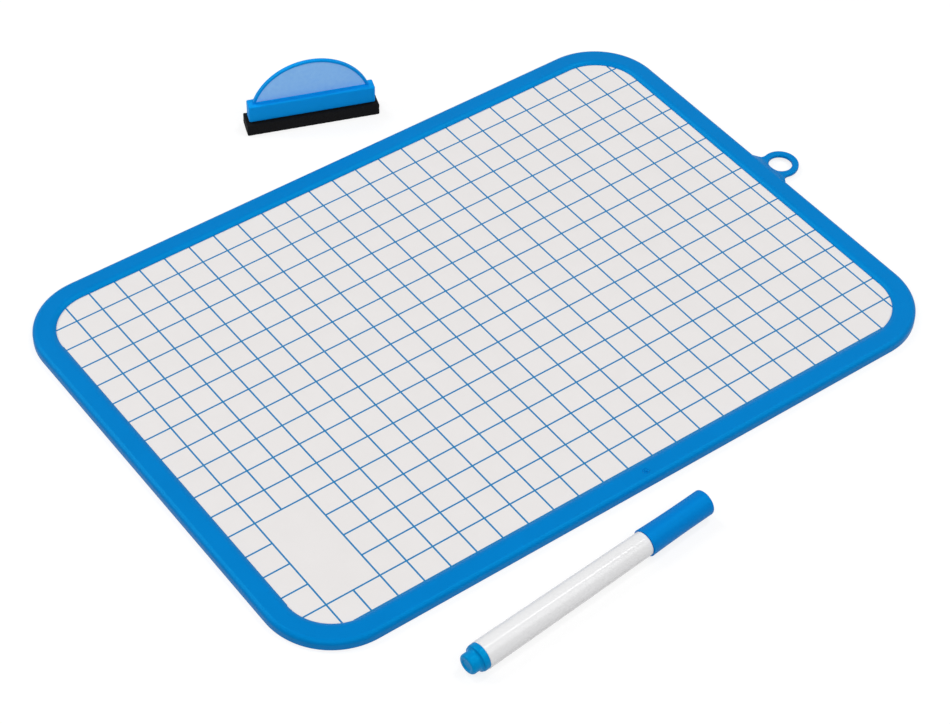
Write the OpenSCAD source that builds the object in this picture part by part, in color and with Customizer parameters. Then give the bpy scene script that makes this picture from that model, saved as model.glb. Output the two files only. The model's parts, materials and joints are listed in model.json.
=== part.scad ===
// Dry-erase lapboard with its capped marker and its half-moon eraser. Sizes are in millimetres, +Z is up.
// The origin is the middle of the board's underside, on the table. +X points to the side with the loop.

/* [Board] */
// Length of the rim over its outer edges
board_l = 260; // [200:1:360]
// Width of the rim over its outer edges
board_w = 185.4; // [140:0.1:260]
// Radius of the rim's outer corners
corner_r = 25; // [14:1:40]
// Width of the rim seen from above
rim_w = 8; // [7:0.1:12]
// Thickness of the rim's lip under the panel
lip_t = 0.8; // [0.6:0.1:2]
// Height of the rim's crown over the writing sheet
crown_h = 1.15; // [0.8:0.05:2.5]
// Height of the rim's inner edge over the writing sheet
inner_edge_h = 0.3; // [0.1:0.05:0.6]
// Width of the slope from the crown down to the inner edge
slope_w = 2.2; // [1:0.1:3]
// Radius over the rim's outer top edge
edge_r = 1.7; // [0.8:0.1:2.4]
// Radius under the rim's outer bottom edge
foot_r = 0.5; // [0.3:0.1:1.2]
// How far the panel's groove is cut into the rim
groove_d = 4.6; // [2:0.1:5.6]
// Room between the panel's edge and the groove's floor
groove_gap = 0.2; // [0.1:0.05:0.5]

/* [Panel] */
// Thickness of the printed and laminated writing sheet
sheet_t = 0.25; // [0.15:0.05:0.6]
// Thickness of the greyboard core
core_t = 1.6; // [1:0.1:3]
// Thickness of the backing sheet
back_t = 0.2; // [0.1:0.05:0.6]

/* [Hanging loop] */
// Diameter of the hole in the loop
hole_d = 8.5; // [6:0.1:12]
// Width of the loop's ring round the hole
ring_w = 2.4; // [1.4:0.1:4]
// Distance of the hole's middle from the rim's outer edge
hole_out = 5.9; // [4.6:0.1:9]
// Thickness of the loop
loop_t = 1.5; // [1.2:0.1:2]
// Height of the loop's underside over the table
loop_z = 0.9; // [0.2:0.1:1.2]
// Radius of the fillets where the ring runs into the rim
loop_fillet_r = 3.6; // [1:0.1:6]
// Wall left between the loop's root and the panel's groove
root_wall = 0.8; // [0.4:0.1:1.6]

/* [Gate mark] */
// Diameter of the dimple left by the moulding gate
gate_d = 2.6; // [1.5:0.1:3]
// Depth of the dimple
gate_depth = 0.4; // [0.1:0.05:0.5]
// Diameter of the nub in the dimple
gate_nub_d = 0.9; // [0.5:0.1:1.2]
// Distance of the dimple from the rim's outer edge
gate_in = 3.7; // [3.2:0.1:4.2]
// Distance of the dimple from the middle of the front side
gate_x = 1.5; // [-60:0.5:60]

/* [Marker] */
// Diameter of the barrel's tail and of the cap's mouth
marker_d = 9.5; // [9.2:0.1:14]
// How much narrower than its tail the barrel is at its front end
barrel_taper = 1; // [0:0.1:1.2]
// Length of the barrel between the end plug and the cap
barrel_l = 67.7; // [40:0.1:110]
// Diameter of the bore that holds the ink reservoir
bore_d = 6.6; // [5.6:0.1:7]
// Thickness of the wall between the reservoir's bore and the neck
shoulder_t = 2; // [1:0.1:4]
// How far the neck lies inside the barrel's front edge
neck_step = 0.65; // [0.4:0.05:0.75]
// Length of the neck under the cap
neck_l = 12; // [8:0.5:18]
// Diameter of the hollow inside the neck
neck_bore_d = 4.6; // [3.8:0.1:5.6]
// Length of the nozzle that holds the nib
nozzle_l = 6; // [4:0.5:10]
// Diameter of the nozzle where it leaves the neck
nozzle_root_d = 6.4; // [5.8:0.1:7]
// Diameter of the nozzle's tip
nozzle_tip_d = 4.4; // [4.2:0.1:5.6]
// Radial room between pieces that are pushed together
fit_gap = 0.05; // [0.02:0.01:0.1]

/* [Nib and ink] */
// Diameter of the nib
nib_d = 3; // [2:0.1:3.4]
// Length of the nib outside the nozzle
nib_out = 4; // [2.5:0.1:6]
// Length of the nib inside the reservoir
nib_in = 4; // [2:0.5:10]
// Thickness of the film round the ink reservoir
film_t = 0.1; // [0.05:0.01:0.2]

/* [End plug] */
// Diameter of the boss at the plug's end
boss_d = 7; // [5:0.1:8.4]
// Length of the boss
boss_l = 3.5; // [2:0.1:8]
// Radius round the boss's end
boss_r = 0.9; // [0.3:0.1:1.5]
// How far the flange's edge lies inside the barrel's
flange_step = 0.15; // [0:0.05:0.4]
// Thickness of the flange
flange_l = 2.3; // [1.2:0.1:4]
// Radius round the flange's back edge
flange_r = 0.9; // [0.3:0.1:1]
// Diameter of the spigot in the barrel
spigot_d = 7.5; // [7.2:0.1:7.9]
// Length of the spigot in the barrel
spigot_l = 7; // [4:0.5:12]
// Wall of the hollow spigot
spigot_wall = 1.1; // [0.8:0.1:1.6]

/* [Cap] */
// Thickness of the cap's closed end
cap_end_t = 1.6; // [1:0.1:3]
// Room between the nib's tip and the cap's closed end
tip_room = 2.9; // [1:0.1:10]
// How much narrower than its mouth the cap is at its waist
waist_step = 0.6; // [0:0.05:0.8]
// Distance of the waist from the mouth
waist_in = 19; // [12:0.5:24]
// Radius round the cap's closed end
cap_end_r = 0.6; // [0.2:0.1:1.2]

/* [Eraser] */
// Length of the foam strip
foam_l = 49.6; // [30:0.1:90]
// Width of the foam strip
foam_w = 8.2; // [7:0.1:16]
// Height of the foam strip
foam_h = 4.6; // [3:0.1:14]
// How far the foam stands out at each end of the handle's bar
foam_over = 1.2; // [0:0.1:3]
// How far the foam stands out along each side of the handle's bar
foam_side = 1.6; // [0.2:0.1:1.8]
// Thickness of the tape between the foam and the handle
tape_t = 0.2; // [0.1:0.05:0.5]
// How far the tape's edges lie inside the bar's flat underside
tape_in = 0.4; // [0.2:0.1:0.8]
// Height of the handle's bar
bar_h = 7.2; // [5:0.1:14]
// Radius along the bar's long edges
bar_edge_r = 0.7; // [0.2:0.1:0.9]
// Height of the half-moon plate over the bar
moon_h = 15.4; // [8:0.1:20]
// Distance of the half-moon's ends from the bar's ends
moon_in = 1.9; // [0.5:0.1:5]
// How deep the half-moon's root is set into the bar
moon_root = 2; // [1:0.1:4]
// Thickness of the half-moon's rim
moon_t = 1.4; // [1.2:0.1:3]
// Width of the half-moon's raised rim
moon_rim_w = 0.8; // [0.6:0.1:3]
// Thickness of the web inside the rim
web_t = 0.7; // [0.5:0.1:1]

/* [Places on the table] */
// Distance of the marker's tail from the board's left edge, along the board
marker_in = 38.3; // [0:0.1:120]
// Distance of the marker's tail from the board's front edge
marker_out = 26.4; // [16:0.1:80]
// Turn of the marker away from the board's front edge, in degrees
marker_turn = 4.9; // [-4:0.1:12]
// Distance of the eraser's middle from the board's left edge, along the board
eraser_in = 142.7; // [60:0.1:200]
// Distance of the eraser's middle from the board's back edge
eraser_out = 27.5; // [20:0.1:80]
// Turn of the eraser, in degrees
eraser_turn = -20.5; // [-60:0.5:20]

/* [Hidden] */

$fn = 96;
// Overlap that joins solids and carries cuts past a face
eps = 0.01;
// Points along the cap's hollowed side
cap_side_points = 12;

panel_t = back_t + core_t + sheet_t;
sheet_z = lip_t + panel_t;
rim_h = sheet_z + crown_h;
panel_in = rim_w - groove_d + groove_gap;
panel_l = board_l - 2 * panel_in;
panel_w = board_w - 2 * panel_in;
panel_r = corner_r - panel_in;
slope_drop = crown_h - inner_edge_h;
slope_r = (slope_w * slope_w + slope_drop * slope_drop) / (2 * slope_drop);

ring_r = hole_d / 2 + ring_w;
hole_x = board_l / 2 + hole_out;
loop_root = rim_w - groove_d - root_wall;
loop_fillet_y = sqrt(pow(ring_r + loop_fillet_r, 2) - pow(hole_out - loop_fillet_r, 2));

barrel_x = boss_l + flange_l;
mouth_x = barrel_x + barrel_l;
nozzle_x = mouth_x + neck_l;
tip_x = nozzle_x + nozzle_l + nib_out;
cap_l = neck_l + nozzle_l + nib_out + tip_room + cap_end_t;
barrel_front_d = marker_d - barrel_taper;
neck_d = barrel_front_d - 2 * neck_step;
cap_bore_d = neck_d + 2 * fit_gap;
socket_d = spigot_d + 2 * fit_gap;
spigot_bore_d = spigot_d - 2 * spigot_wall;
bore_end_x = mouth_x - shoulder_t;
reservoir_x = barrel_x + spigot_l;
film_d = bore_d - 2 * fit_gap;
film_bore_d = film_d - 2 * film_t;
reservoir_d = film_bore_d - 2 * fit_gap;
nib_hole_d = nib_d + 2 * fit_gap;
nib_x = bore_end_x - nib_in;
waist_r = (waist_in * waist_in + pow(waist_step / 2, 2)) / waist_step;

bar_z = foam_h + tape_t;
bar_l = foam_l - 2 * foam_over;
bar_w = foam_w - 2 * foam_side;
bar_top_z = bar_z + bar_h;
moon_half_l = bar_l / 2 - moon_in;
moon_r = (moon_half_l * moon_half_l + moon_h * moon_h) / (2 * moon_h);
moon_z = bar_top_z + moon_h - moon_r;
web_sink = (moon_t - web_t) / 2;

function cap_side_r(x) =
    marker_d / 2 - waist_step / 2 + (waist_step == 0 ? 0 : pow(x - waist_in, 2) / (2 * waist_r));

module marker_place() {
    translate([marker_in - board_l / 2, -board_w / 2 - marker_out, marker_d / 2])
        rotate([0, 0, marker_turn])
            children();
}

module eraser_place() {
    translate([eraser_in - board_l / 2, board_w / 2 + eraser_out, 0])
        rotate([0, 0, eraser_turn])
            children();
}

// Turns a profile of radius and distance from the marker's tail into a solid along the marker
module turned() {
    rotate([0, 90, 0])
        mirror([1, 0, 0])
            rotate_extrude()
                children();
}

// Drilled or turned round stretch of the marker, from one distance to another
module round_stretch(from_x, to_x, from_d, to_d) {
    translate([from_x, 0, 0])
        rotate([0, 90, 0])
            cylinder(h = to_x - from_x, d1 = from_d, d2 = to_d);
}

// Section of the rim: the distance in from the outer edge, and the height over the table
module rim_section() {
    difference() {
        union() {
            translate([edge_r, 0])
                square([rim_w - slope_w - edge_r, rim_h]);
            translate([0, foot_r])
                square([edge_r + eps, rim_h - edge_r - foot_r]);
            translate([foot_r, 0])
                square([edge_r - foot_r + eps, foot_r + eps]);
            translate([edge_r, rim_h - edge_r])
                circle(edge_r);
            translate([foot_r, foot_r])
                circle(foot_r);
            rim_slope();
        }
        translate([rim_w - groove_d, lip_t])
            square([groove_d + eps, panel_t]);
    }
}

// Inner side of the section, under the arc that falls from the crown to the inner edge
module rim_slope() {
    intersection() {
        translate([rim_w - slope_w - eps, 0])
            square([slope_w + eps, rim_h]);
        translate([rim_w - slope_w, rim_h - slope_r])
            union() {
                circle(slope_r, $fn = 360);
                translate([-slope_r, -rim_h - slope_r])
                    square([2 * slope_r, rim_h + slope_r]);
            }
    }
}

module rim_side(side_l, out) {
    translate([-side_l / 2, -out, 0])
        rotate([90, 0, 90])
            linear_extrude(side_l)
                rim_section();
}

module rim_corner() {
    rotate_extrude(angle = 90)
        translate([corner_r, 0])
            mirror([1, 0])
                rim_section();
}

module rim_ring() {
    long_l = board_l - 2 * corner_r;
    short_l = board_w - 2 * corner_r;
    for (turn = [0, 180])
        rotate([0, 0, turn]) {
            rim_side(long_l, board_w / 2);
            rotate([0, 0, 90])
                rim_side(short_l, board_l / 2);
            translate([long_l / 2, short_l / 2, 0])
                rim_corner();
            translate([-long_l / 2, short_l / 2, 0])
                rotate([0, 0, 90])
                    rim_corner();
        }
}

// Outline of the loop: a ring, and the neck between two fillets that run into the rim
module loop_outline() {
    difference() {
        union() {
            translate([hole_out, 0])
                circle(ring_r);
            polygon([
                [-loop_root, -loop_fillet_y],
                [loop_fillet_r, -loop_fillet_y],
                [hole_out, 0],
                [loop_fillet_r, loop_fillet_y],
                [-loop_root, loop_fillet_y]
            ]);
        }
        for (side = [-1, 1])
            translate([loop_fillet_r, side * loop_fillet_y])
                circle(loop_fillet_r);
    }
}

module rim() {
    color("#0082D0")
        difference() {
            union() {
                difference() {
                    rim_ring();
                    translate([gate_x, gate_in - board_w / 2, rim_h - gate_depth])
                        cylinder(h = gate_depth + eps, d = gate_d);
                }
                translate([gate_x, gate_in - board_w / 2, rim_h - gate_depth - eps])
                    cylinder(h = gate_depth + eps, d = gate_nub_d);
                translate([board_l / 2, 0, loop_z])
                    linear_extrude(loop_t)
                        loop_outline();
            }
            translate([hole_x, 0, loop_z - eps])
                cylinder(h = loop_t + 2 * eps, d = hole_d);
        }
}

module panel_layer(z, t) {
    translate([0, 0, z])
        linear_extrude(t)
            union() {
                square([panel_l - 2 * panel_r, panel_w], center = true);
                square([panel_l, panel_w - 2 * panel_r], center = true);
                for (sx = [-1, 1], sy = [-1, 1])
                    translate([sx * (panel_l / 2 - panel_r), sy * (panel_w / 2 - panel_r)])
                        circle(panel_r);
            }
}

module backing_sheet() {
    color("#E4E2E0")
        panel_layer(lip_t, back_t);
}

module core_board() {
    color("#A89B88")
        panel_layer(lip_t + back_t, core_t);
}

module writing_sheet() {
    color("#EDEBEA")
        panel_layer(lip_t + back_t + core_t, sheet_t);
}

module marker_barrel() {
    color("#EFEFEF")
        marker_place()
            difference() {
                union() {
                    round_stretch(barrel_x, mouth_x, marker_d, barrel_front_d);
                    round_stretch(mouth_x - eps, nozzle_x, neck_d, neck_d);
                    round_stretch(nozzle_x - eps, nozzle_x + nozzle_l, nozzle_root_d, nozzle_tip_d);
                }
                round_stretch(barrel_x - eps, reservoir_x, socket_d, socket_d);
                round_stretch(reservoir_x - eps, bore_end_x, bore_d, bore_d);
                round_stretch(bore_end_x - eps, nozzle_x, neck_bore_d, neck_bore_d);
                round_stretch(nozzle_x - eps, nozzle_x + nozzle_l + eps, nib_hole_d, nib_hole_d);
            }
}

// Half section of the end plug's boss and flange, with their rounded back edges
module plug_section() {
    flange_d = marker_d - 2 * flange_step;
    square([boss_d / 2 - boss_r, boss_l + eps]);
    translate([0, boss_r])
        square([boss_d / 2, boss_l - boss_r + eps]);
    translate([boss_d / 2 - boss_r, boss_r])
        circle(boss_r);
    translate([0, boss_l])
        square([flange_d / 2 - flange_r, flange_l]);
    translate([0, boss_l + flange_r])
        square([flange_d / 2, flange_l - flange_r]);
    translate([flange_d / 2 - flange_r, boss_l + flange_r])
        circle(flange_r);
    translate([0, barrel_x - eps])
        square([spigot_d / 2, spigot_l + eps]);
}

module marker_end_plug() {
    color("#0086D2")
        marker_place()
            difference() {
                turned()
                    plug_section();
                round_stretch(barrel_x, reservoir_x + eps, spigot_bore_d, spigot_bore_d);
            }
}

module ink_reservoir() {
    color("#2C4F8F")
        marker_place()
            difference() {
                round_stretch(reservoir_x, bore_end_x, reservoir_d, reservoir_d);
                round_stretch(nib_x - fit_gap, bore_end_x + eps, nib_hole_d, nib_hole_d);
            }
}

module reservoir_film() {
    color("#F4F4F4")
        marker_place()
            difference() {
                round_stretch(reservoir_x, bore_end_x, film_d, film_d);
                round_stretch(reservoir_x - eps, bore_end_x + eps, film_bore_d, film_bore_d);
            }
}

module marker_nib() {
    color("#1C3F86")
        marker_place() {
            round_stretch(nib_x, tip_x - nib_d / 2, nib_d, nib_d);
            translate([tip_x - nib_d / 2, 0, 0])
                sphere(d = nib_d);
        }
}

// Half section of the cap: a hollowed side and a rounded closed end, measured from its mouth
module cap_section() {
    side_l = cap_l - cap_end_r;
    end_r = cap_side_r(side_l);
    polygon(concat(
        [[0, 0]],
        [for (i = [0 : cap_side_points]) let (x = side_l * i / cap_side_points) [cap_side_r(x), x]],
        [[end_r - cap_end_r, side_l], [end_r - cap_end_r, cap_l], [0, cap_l]]
    ));
    translate([end_r - cap_end_r, side_l])
        circle(cap_end_r);
}

module marker_cap() {
    color("#0080CF")
        marker_place()
            translate([mouth_x, 0, 0])
                difference() {
                    turned()
                        cap_section();
                    round_stretch(-eps, cap_l - cap_end_t, cap_bore_d, cap_bore_d);
                }
}

// Section across the handle's bar
module bar_section() {
    translate([-bar_w / 2, bar_edge_r])
        square([bar_w, bar_h - 2 * bar_edge_r]);
    translate([bar_edge_r - bar_w / 2, 0])
        square([bar_w - 2 * bar_edge_r, bar_h]);
    for (sx = [-1, 1], z = [bar_edge_r, bar_h - bar_edge_r])
        translate([sx * (bar_w / 2 - bar_edge_r), z])
            circle(bar_edge_r);
}

// Slice of the half-moon of the given radius and thickness, from the given height upwards
module moon_slice(r, t, from_z) {
    translate([0, t / 2, 0])
        rotate([90, 0, 0])
            linear_extrude(t)
                intersection() {
                    translate([0, moon_z])
                        circle(r, $fn = 180);
                    translate([-r, from_z])
                        square([2 * r, 2 * r]);
                }
}

module eraser_handle() {
    web_r = moon_r - moon_rim_w;
    color("#0A86D4")
        eraser_place() {
            translate([-bar_l / 2, 0, bar_z])
                rotate([90, 0, 90])
                    linear_extrude(bar_l)
                        bar_section();
            difference() {
                moon_slice(moon_r, moon_t, bar_top_z - moon_root);
                for (side = [-1, 1])
                    translate([0, side * (web_t + web_sink + eps) / 2, 0])
                        moon_slice(web_r, web_sink + eps, bar_top_z);
            }
        }
}

module eraser_foam() {
    color("#141416")
        eraser_place()
            translate([-foam_l / 2, -foam_w / 2, 0])
                cube([foam_l, foam_w, foam_h]);
}

module foam_tape() {
    tape_l = bar_l - 2 * tape_in;
    tape_w = bar_w - 2 * bar_edge_r - 2 * tape_in;
    color("#D9D4C4")
        eraser_place()
            translate([-tape_l / 2, -tape_w / 2, foam_h])
                cube([tape_l, tape_w, tape_t]);
}

rim();
writing_sheet();
core_board();
backing_sheet();
marker_barrel();
marker_end_plug();
ink_reservoir();
reservoir_film();
marker_nib();
marker_cap();
eraser_handle();
eraser_foam();
foam_tape();
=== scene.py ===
"""Looks of the dry-erase lapboard with its capped marker and its half-moon eraser.

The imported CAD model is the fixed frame. Each new piece is a surface on a grid of two parameters,
worked out with numpy in millimetres in the frame's own axes, and goes into its mesh in metres.
"""

import json
import math

import bmesh
import bpy
import numpy as np
from mathutils import Matrix


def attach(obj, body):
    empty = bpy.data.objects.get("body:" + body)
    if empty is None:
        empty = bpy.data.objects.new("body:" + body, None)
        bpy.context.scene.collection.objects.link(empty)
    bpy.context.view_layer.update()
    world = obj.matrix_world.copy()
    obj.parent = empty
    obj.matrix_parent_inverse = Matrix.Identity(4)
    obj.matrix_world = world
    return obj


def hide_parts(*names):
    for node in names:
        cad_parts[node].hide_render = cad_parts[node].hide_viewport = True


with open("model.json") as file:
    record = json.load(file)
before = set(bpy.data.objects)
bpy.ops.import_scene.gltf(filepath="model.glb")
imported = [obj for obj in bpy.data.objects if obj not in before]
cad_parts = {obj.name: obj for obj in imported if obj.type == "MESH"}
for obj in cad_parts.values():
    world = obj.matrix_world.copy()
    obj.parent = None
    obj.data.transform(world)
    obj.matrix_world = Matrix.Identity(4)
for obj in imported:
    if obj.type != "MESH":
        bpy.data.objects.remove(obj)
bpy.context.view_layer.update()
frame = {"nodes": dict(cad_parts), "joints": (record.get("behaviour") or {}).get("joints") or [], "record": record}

MM = 0.001
X_AXIS, Y_AXIS, Z_AXIS = np.eye(3)

# Driving sizes in millimetres that the frame's boxes don't give, the same as in the part's source
CORNER_R = 25.0
RIM_W = 8.0
EDGE_R = 1.7
FOOT_R = 0.5
SLOPE_W = 2.2
INNER_EDGE_H = 0.3
GROOVE_D = 4.6
RING_W = 2.4
LOOP_FILLET_R = 3.6
LOOP_ROOT = 2.6
GATE_D = 2.6
GATE_DEPTH = 0.4
GATE_NUB_D = 0.9
GATE_IN = 3.7
GATE_X = 1.5
BARREL_TAPER = 1.0
NECK_L = 12.0
NECK_STEP = 0.65
NECK_BORE_D = 4.6
BORE_D = 6.6
NOZZLE_ROOT_D = 6.4
NOZZLE_TIP_D = 4.4
FIT_GAP = 0.05
BOSS_D = 7.0
BOSS_L = 3.5
BOSS_R = 0.9
FLANGE_STEP = 0.15
FLANGE_R = 0.9
SPIGOT_D = 7.5
SPIGOT_WALL = 1.1
CAP_END_T = 1.6
CAP_END_R = 0.6
WAIST_STEP = 0.6
WAIST_IN = 19.0
ERASER_TURN = -20.5
BAR_H = 7.2
BAR_EDGE_R = 0.7
MOON_IN = 1.9
MOON_ROOT = 2.0
MOON_T = 1.4
MOON_RIM_W = 0.8
WEB_T = 0.7

# Sizes in millimetres that only the looks have: small roundings, the loop's ramp and how far its top
# stays under the crown, the plug's dish, and the roughness of the cut foam
INNER_R = 0.12
LIP_R = 0.2
LOOP_EDGE_R = 0.45
LOOP_RAMP = 2.6
LOOP_SUNK = 0.02
TUBE_EDGE_R = 0.2
BOSS_FILLET_R = 0.8
BOSS_DISH_R = 2.1
BOSS_DISH = 0.35
NOZZLE_EDGE_R = 0.4
NIB_EDGE_R = 0.1
BAR_END_R = 0.6
MOON_EDGE_R = 0.15
WEB_STEP = 0.3
WEB_FILLET_R = 0.35
FOAM_EDGE_R = 0.35
FOAM_ROUGH = 0.07
LEAST_R = 0.05

# The gate mark: where the dimple's wall starts, as a share of its radius, the nub's rise, as a share of
# the dimple's depth, and the nub's top and foot, as shares of its width
GATE_WALL = 0.72
NUB_RISE = 1.7
NUB_TOP = 0.3
NUB_FOOT = 0.55

# Where the loop's ramp starts and ends its fade past the ring's radius, as shares of the fillet's radius
RAMP_FADE_FROM = -0.3
RAMP_FADE_TO = 0.8

# Waves on the cut foam: height, turns in radians per millimetre along, across and up, and starting turn
FOAM_WAVES = (
    (1.0, (1.9, 0.7, 2.1), 0.0),
    (0.7, (4.3, 0.0, -2.6), 1.0),
    (0.5, (7.7, 5.1, -3.3), 2.0),
)
# The waves come in between these shares of the foam's half width
FOAM_CALM = 0.5
FOAM_FREE = 0.9

# Steps of the grids: round the rim's section, along its path, on the loop, the marker and the eraser
FOOT_STEPS = 8
EDGE_STEPS = 18
CROWN_STEPS = 33
SLOPE_STEPS = 12
INNER_STEPS = 5
LIP_STEPS = 4
LONG_STEPS = 42
SHORT_STEPS = 28
CORNER_STEPS = 28
GATE_STEPS = 48
LOOP_STEPS = 192
LOOP_SIDE_STEPS = 24
TUBE_STEPS = 96
NIB_STEPS = 48
NIB_ROUND_STEPS = 12
CAP_SIDE_STEPS = 24
BAR_STEPS = 40
BAR_SIDE_STEPS = 4
FOAM_STEPS = 150
FOAM_SIDE_STEPS = 14
BLOCK_END_STEPS = 5
MOON_STEPS = 120
MOON_RIM_STEPS = 6
WEB_STEPS = 40
WEB_FILLET_STEPS = 6

# Whether a grid's direction runs back to its start
OPEN = False
CLOSED = True
# Points closer than this, in metres, are one; edges over this angle, in degrees, stay creased
MERGE_DISTANCE = 1e-6
CREASE_ANGLE = 38.0
# Keeps a length or a cosine that is divided by off zero
TINY_LENGTH = 1e-9
TINY_COSINE = 1e-6

# Printed squares in millimetres: the pitch, the lines' width, and the first line's place from the board's
# middle. The lines that run the other way are printed a step lower, so that crossings don't share a face.
SQUARE = 10.0
LINE_W = 0.6
FIRST_LINE_X = -122.0
FIRST_LINE_Y = 75.7
LINES_X = 25
LINES_Y = 17
INK_T = 0.03
INK_STEP = 0.01
# The bare block in the print, counted in lines from the first one
BARE_X = (1, 3)
BARE_Y = (11, 15)

# The photograph's camera: degrees, millimetres, and the image's width and focal length in pixels
VIEW_AZIMUTH = -37.295
VIEW_ELEVATION = 45.852
VIEW_ROLL = 1.417
VIEW_TARGET = (-13.83, -17.36)
VIEW_DISTANCE = 866.42
IMAGE_W = 950
FOCAL_PX = 2600.0
SENSOR_W = 36.0
# What the camera sees, in metres
CLIP_NEAR = 0.01
CLIP_FAR = 20.0


def node_points(name):
    """All corner points of a CAD node, in millimetres."""
    mesh = frame["nodes"][name].data
    flat = np.empty(len(mesh.vertices) * 3)
    mesh.vertices.foreach_get("co", flat)
    return flat.reshape(-1, 3) / MM


def reach(name, direction):
    """Lowest and highest reach of a CAD node along a direction: the least and greatest dot product."""
    along = node_points(name) @ direction
    return along.min(), along.max()


def middle(name, direction):
    """Middle of a CAD node's reach along a direction."""
    return sum(reach(name, direction)) / 2


# Board, from the rim and the panel's layers
BOARD_L = -2 * reach("rim", X_AXIS)[0]
BOARD_W = 2 * reach("rim", Y_AXIS)[1]
RIM_H = reach("rim", Z_AXIS)[1]
SHEET_Z = reach("writing_sheet", Z_AXIS)[1]
LIP_T = reach("backing_sheet", Z_AXIS)[0]

# Hanging loop, from its mount
hang_hole = next(mount for mount in frame["record"]["mounts"] if mount["name"] == "hang_hole")
HOLE_X = hang_hole["pos_m"][0] / MM
HOLE_R = hang_hole["dims"]["r_mm"]
LOOP_T = hang_hole["dims"]["length_mm"]
LOOP_Z = hang_hole["pos_m"][2] / MM - LOOP_T / 2

# Marker: its axis from the cap's joint, its tail and lengths from the nodes along that axis
cap_joint = next(joint for joint in frame["joints"] if joint["name"] == "cap_pull")
MARKER_AXIS = np.array(cap_joint["axis"]) / np.linalg.norm(cap_joint["axis"])
MARKER_SIDE = np.cross(Z_AXIS, MARKER_AXIS)
TAIL_AT = reach("marker_end_plug", MARKER_AXIS)[0]
MARKER_TAIL = (
    TAIL_AT * MARKER_AXIS
    + middle("marker_end_plug", MARKER_SIDE) * MARKER_SIDE
    + middle("marker_end_plug", Z_AXIS) * Z_AXIS
)
BARREL_X, NOZZLE_END = np.array(reach("marker_barrel", MARKER_AXIS)) - TAIL_AT
MOUTH_X, CAP_END = np.array(reach("marker_cap", MARKER_AXIS)) - TAIL_AT
RESERVOIR_X, BORE_END_X = np.array(reach("ink_reservoir", MARKER_AXIS)) - TAIL_AT
NIB_X, TIP_X = np.array(reach("marker_nib", MARKER_AXIS)) - TAIL_AT
MARKER_D = 2 * MARKER_TAIL[2]
NIB_D = np.ptp(reach("marker_nib", Z_AXIS))

# Eraser: its middle and lengths from the foam and the handle along its own axes
ERASER_AXIS = np.array([math.cos(math.radians(ERASER_TURN)), math.sin(math.radians(ERASER_TURN)), 0.0])
ERASER_SIDE = np.cross(Z_AXIS, ERASER_AXIS)
ERASER_MIDDLE = (
    middle("eraser_foam", ERASER_AXIS) * ERASER_AXIS + middle("eraser_foam", ERASER_SIDE) * ERASER_SIDE
)
FOAM_L = np.ptp(reach("eraser_foam", ERASER_AXIS))
FOAM_W = np.ptp(reach("eraser_foam", ERASER_SIDE))
FOAM_H = np.ptp(reach("eraser_foam", Z_AXIS))
BAR_L = np.ptp(reach("eraser_handle", ERASER_AXIS))
BAR_W = np.ptp(reach("eraser_handle", ERASER_SIDE))
BAR_Z, MOON_TOP = reach("eraser_handle", Z_AXIS)


def linear(code):
    """Linear colour of an sRGB hex code: the sRGB curve undone for each channel, with an alpha of 1."""
    share = np.array([int(code[i : i + 2], 16) for i in (1, 3, 5)]) / 255
    value = np.where(share <= 0.04045, share / 12.92, ((share + 0.055) / 1.055) ** 2.4)
    return (*value.tolist(), 1.0)


def per_mm(size):
    """Texture scale for features of a size in millimetres, on Object coordinates in metres."""
    return 1 / (size * MM)


# Places of the colour sockets on a Mix node
MIX_FACTOR, MIX_A, MIX_B, MIX_RESULT = 0, 6, 7, 2


def add(tree, kind, inputs=None, **settings):
    """Adds a node with its properties. An input is linked if it is a socket, and set if it is a value."""
    made = tree.nodes.new(kind)
    for key, value in settings.items():
        setattr(made, key, value)
    for key, value in (inputs or {}).items():
        if isinstance(value, bpy.types.NodeSocket):
            tree.links.new(value, made.inputs[key])
        else:
            made.inputs[key].default_value = value
    return made


def empty_tree(owner):
    """The node tree of a new material or world, with nothing in it."""
    owner.use_nodes = True
    owner.node_tree.nodes.clear()
    return owner.node_tree


def new_material(name):
    """An empty node material, with its tree and the Object coordinates that its patterns read."""
    material = bpy.data.materials.new(name)
    tree = empty_tree(material)
    where = add(tree, "ShaderNodeTexCoord").outputs["Object"]
    return material, tree, where


def close_material(material, tree, shader):
    """Links the finished shader to the surface."""
    add(tree, "ShaderNodeOutputMaterial", {"Surface": shader.outputs[0]})
    return material


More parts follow.
